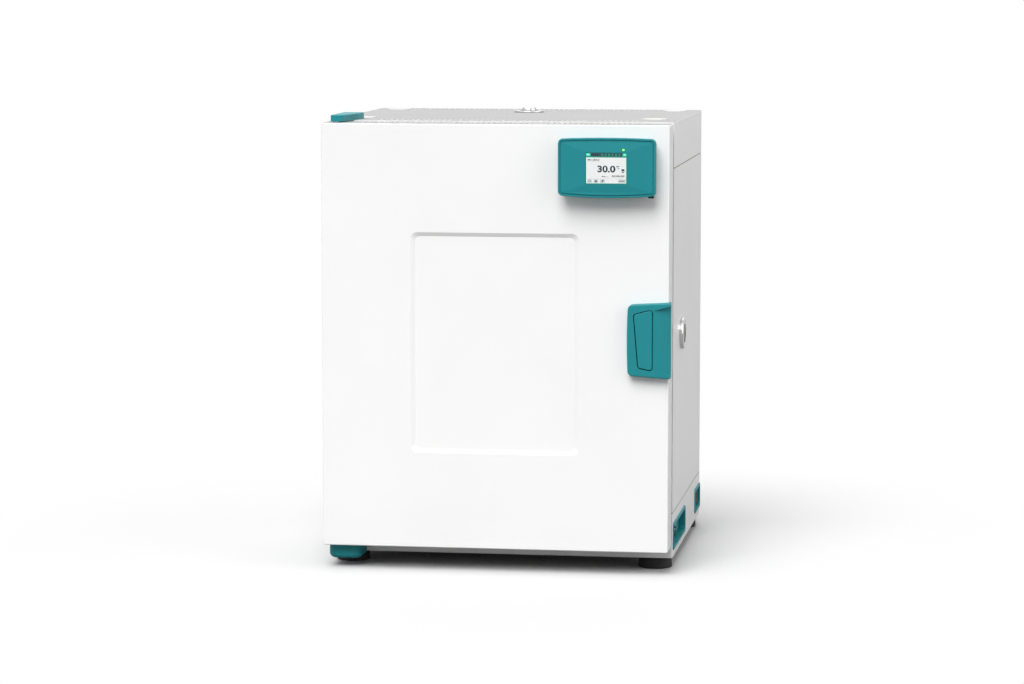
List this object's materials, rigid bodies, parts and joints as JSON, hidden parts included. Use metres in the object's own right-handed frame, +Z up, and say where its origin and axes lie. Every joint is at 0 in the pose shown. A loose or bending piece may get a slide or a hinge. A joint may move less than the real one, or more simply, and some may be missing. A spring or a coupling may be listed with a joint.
{
  "type": "bench drying oven",
  "caption": "White bench drying oven with a hinged door, teal handle and corner display, a steel chamber with wire shelves, a fan, and an exhaust vent on top.",
  "frame": {"origin": "centre of the whole oven's footprint, on the bench under the feet", "axes": "+Z up; -Y towards the person in front of the door; +X to the right, the side with the handle"},
  "size_m": [0.611, 0.62, 0.787],
  "materials": {
    "white_panel": "satin",
    "stainless": "satin",
    "heater_steel": "matte",
    "motor_paint": "satin",
    "teal_plastic": "satin",
    "black_plastic": "matte",
    "white_plastic": "satin",
    "olive_plastic": "matte",
    "black_rubber": "matte",
    "grey_silicone": "matte",
    "polished_metal": "polished",
    "mineral_wool": "matte",
    "bush_bronze": "satin",
    "latch_zinc": "satin",
    "board_green": "matte",
    "screen": "gloss",
    "led_lens": "gloss"
  },
  "bodies": {
    "cabinet": {"base_pan": "white_panel", "left_side_panel": "white_panel", "right_side_panel": "white_panel", "top_cover": "white_panel", "rear_panel": "white_panel", "rear_cover": "white_panel", "front_frame": "white_panel", "chamber_liner": "stainless", "side_insulation": "mineral_wool", "upper_insulation": "mineral_wool", "lower_insulation": "mineral_wool", "rear_insulation": "mineral_wool", "rear_baffle": "stainless", "shelf_racks": "stainless", "fan_motor": "motor_paint", "heater_coil": "heater_steel", "sensor_probe": "stainless", "exhaust_vent": "polished_metal", "access_port": "polished_metal", "left_front_pocket": "teal_plastic", "left_rear_pocket": "teal_plastic", "right_front_pocket": "teal_plastic", "right_rear_pocket": "teal_plastic", "socket_cap": "black_plastic", "power_switch": "white_plastic", "limiter_thermostat": "black_plastic", "rubber_feet": "black_rubber", "stacking_pads": "white_plastic", "upper_hinge_cover": "teal_plastic", "lower_hinge_cover": "teal_plastic", "upper_hinge_bracket": "stainless", "lower_hinge_bracket": "stainless", "hinge_pins": "stainless", "latch_keeper": "stainless", "power_board": "board_green", "power_inlet": "black_plastic", "cabinet_screws": "stainless"},
    "door": {"door_skin": "white_panel", "door_inner_panel": "stainless", "door_insulation": "mineral_wool", "door_gasket": "grey_silicone", "hinge_bushes": "bush_bronze", "handle_body": "teal_plastic", "latch_case": "stainless", "latch_pins": "stainless", "controller_back": "teal_plastic", "controller_front": "teal_plastic", "display_module": "screen", "status_led": "led_lens"},
    "lever": {"handle_lever": "teal_plastic"},
    "latch": {"latch_hook": "latch_zinc"},
    "exhaust": {"exhaust_knob": "polished_metal"},
    "plug": {"port_plug": "grey_silicone"},
    "upper_tray": {"upper_shelf": "stainless"},
    "lower_tray": {"lower_shelf": "stainless"},
    "rocker": {"power_rocker": "black_plastic"},
    "dial": {"limiter_dial": "olive_plastic"},
    "fan": {"fan_wheel": "stainless", "fan_shaft": "stainless"}
  },
  "joints": [
    {"name": "door_hinge", "type": "hinge", "parent": "cabinet", "child": "door", "pos_m": [-0.2799, -0.236, 0.408], "axis": [0, 0, -1], "range_deg": [0, 110]},
    {"name": "lever_pivot", "type": "hinge", "parent": "door", "child": "lever", "pos_m": [0.2535, -0.288, 0.408], "axis": [0, 0, -1], "range_deg": [0, 25], "stiffness_Nm_per_rad": 0.4, "springref_deg": -5.73},
    {"name": "latch_pivot", "type": "hinge", "parent": "door", "child": "latch", "pos_m": [0.259, -0.241, 0.408], "axis": [0, 0, 1], "range_deg": [0, 16.5]},
    {"name": "exhaust_turn", "type": "hinge", "parent": "cabinet", "child": "exhaust", "pos_m": [0, 0.144, 0.773], "axis": [0, 0, 1], "range_deg": [0, 45]},
    {"name": "plug_pull", "type": "slide", "parent": "cabinet", "child": "plug", "axis": [1, 0, 0], "range_m": [0, 0.08]},
    {"name": "upper_shelf_slide", "type": "slide", "parent": "cabinet", "child": "upper_tray", "axis": [0, -1, 0], "range_m": [0, 0.018]},
    {"name": "lower_shelf_slide", "type": "slide", "parent": "cabinet", "child": "lower_tray", "axis": [0, -1, 0], "range_m": [0, 0.018]},
    {"name": "rocker_pivot", "type": "hinge", "parent": "cabinet", "child": "rocker", "pos_m": [0.29, -0.0825, 0.057], "axis": [0, 0, 1], "range_deg": [-14, 0]},
    {"name": "limiter_turn", "type": "hinge", "parent": "cabinet", "child": "dial", "pos_m": [0.291, -0.0825, 0.0455], "axis": [1, 0, 0], "range_deg": [0, 270]},
    {"name": "fan_spin", "type": "hinge", "parent": "cabinet", "child": "fan", "pos_m": [0, 0.205, 0.413], "axis": [0, 1, 0], "continuous": true}
  ],
  "couplings": [
    {"joint": "latch_pivot", "follows": "lever_pivot", "ratio": 0.64}
  ]
}
